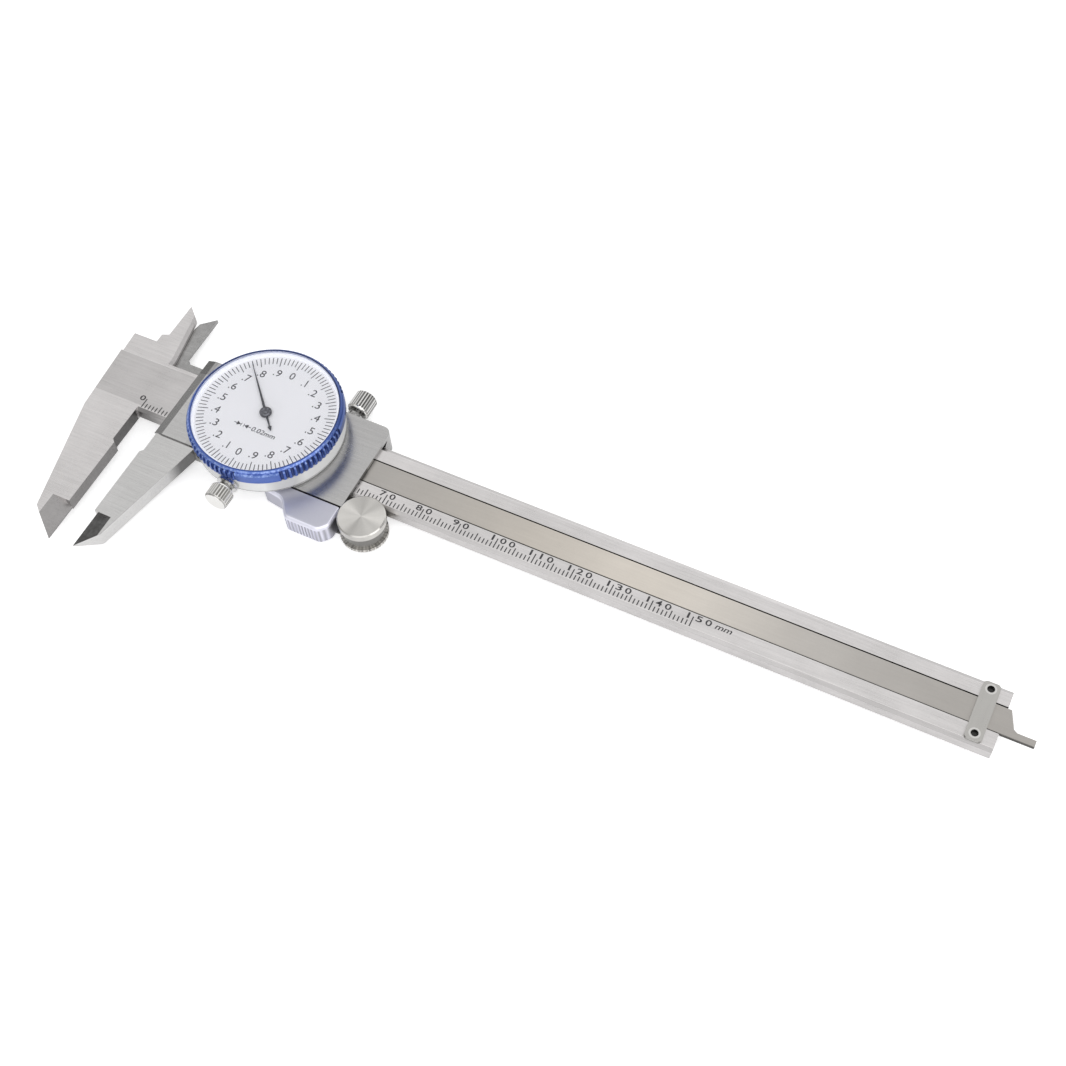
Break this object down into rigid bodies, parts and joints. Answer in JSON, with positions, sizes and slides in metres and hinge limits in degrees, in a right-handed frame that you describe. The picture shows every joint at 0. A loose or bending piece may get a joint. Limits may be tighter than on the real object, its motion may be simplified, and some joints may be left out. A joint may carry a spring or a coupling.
{
  "type": "dial caliper",
  "caption": "Dial caliper, 0 to 150 mm: steel beam with outside and inside jaws, slider with a blue-rimmed dial, depth bar, thumb wheel and lock screw.",
  "frame": {"origin": "on the dial's axis, in the plane of the slider's back, which the caliper lies on", "axes": "+X along the beam to its free end, +Y towards the inside jaws, +Z out of the dial's face"},
  "size_m": [0.2444, 0.0752, 0.0149],
  "materials": {
    "hardened_steel": "satin ground",
    "warm_steel": "ground",
    "dark_steel": "turned",
    "silver_case": "satin chrome",
    "satin_silver": "satin",
    "nickel": "nickel plated",
    "brass": "turned",
    "blue_bezel": "satin anodised",
    "crystal_glass": "clear",
    "dial_white": "matt print",
    "black_hand": "matt"
  },
  "bodies": {
    "beam": {"beam": "hardened_steel", "rack": "hardened_steel", "end_stop_plate": "hardened_steel", "end_stop_screws": "dark_steel"},
    "slider": {"slider_frame": "hardened_steel", "back_plate": "hardened_steel", "back_plate_screws": "dark_steel", "gib_strip": "brass", "gib_screws": "dark_steel", "depth_bar": "warm_steel", "depth_bar_screws": "dark_steel", "depth_bar_spacers": "brass", "dial_case": "silver_case", "case_bushes": "brass", "bridge_bushes": "brass", "movement_bridge": "brass", "bridge_posts": "brass", "bridge_screws": "dark_steel", "thumb_rest": "satin_silver", "thumb_rest_pins": "dark_steel", "wheel_axle": "dark_steel", "bezel_retaining_ring": "dark_steel"},
    "bezel": {"bezel_ring": "blue_bezel", "crystal": "crystal_glass", "crystal_seat": "dial_white", "dial_face": "dial_white"},
    "pointer": {"pointer_hand": "black_hand", "centre_arbor": "brass"},
    "rack_pinion": {"rack_pinion_arbor": "brass", "drive_gear": "brass", "antibacklash_gear": "brass", "scissor_spring": "dark_steel"},
    "thumb_wheel": {"thumb_wheel": "satin_silver"},
    "lock_screw": {"lock_screw": "nickel"},
    "bezel_clamp": {"bezel_clamp_screw": "nickel", "clamp_washer": "nickel"}
  },
  "joints": [
    {"name": "slider_slide", "type": "slide", "parent": "beam", "child": "slider", "axis": [1, 0, 0], "range_m": [-0.00776, 0.14224]},
    {"name": "bezel_turn", "type": "hinge", "parent": "slider", "child": "bezel", "pos_m": [0, 0, 0.012], "axis": [0, 0, 1], "continuous": true},
    {"name": "pointer_turn", "type": "hinge", "parent": "slider", "child": "pointer", "pos_m": [0, 0, 0.009], "axis": [0, 0, 1], "continuous": true},
    {"name": "pinion_turn", "type": "hinge", "parent": "slider", "child": "rack_pinion", "pos_m": [-0.009, 0, 0.007], "axis": [0, 0, 1], "continuous": true},
    {"name": "wheel_turn", "type": "hinge", "parent": "slider", "child": "thumb_wheel", "pos_m": [0.0336, -0.0134, 0.004], "axis": [0, 0, 1], "continuous": true},
    {"name": "lock_turn", "type": "hinge", "parent": "slider", "child": "lock_screw", "pos_m": [0.0155, 0.0175, 0.0036], "axis": [0, 1, 0], "range_deg": [-90, 270]},
    {"name": "clamp_turn", "type": "hinge", "parent": "slider", "child": "bezel_clamp", "pos_m": [0, -0.0225, 0.00845], "axis": [0, -1, 0], "range_deg": [-90, 270]}
  ],
  "couplings": [
    {"joint": "pointer_turn", "follows": "slider_slide", "rad_per_m": -3141.6},
    {"joint": "pinion_turn", "follows": "slider_slide", "rad_per_m": 628.32},
    {"joint": "wheel_turn", "follows": "slider_slide", "rad_per_m": 185.19}
  ]
}
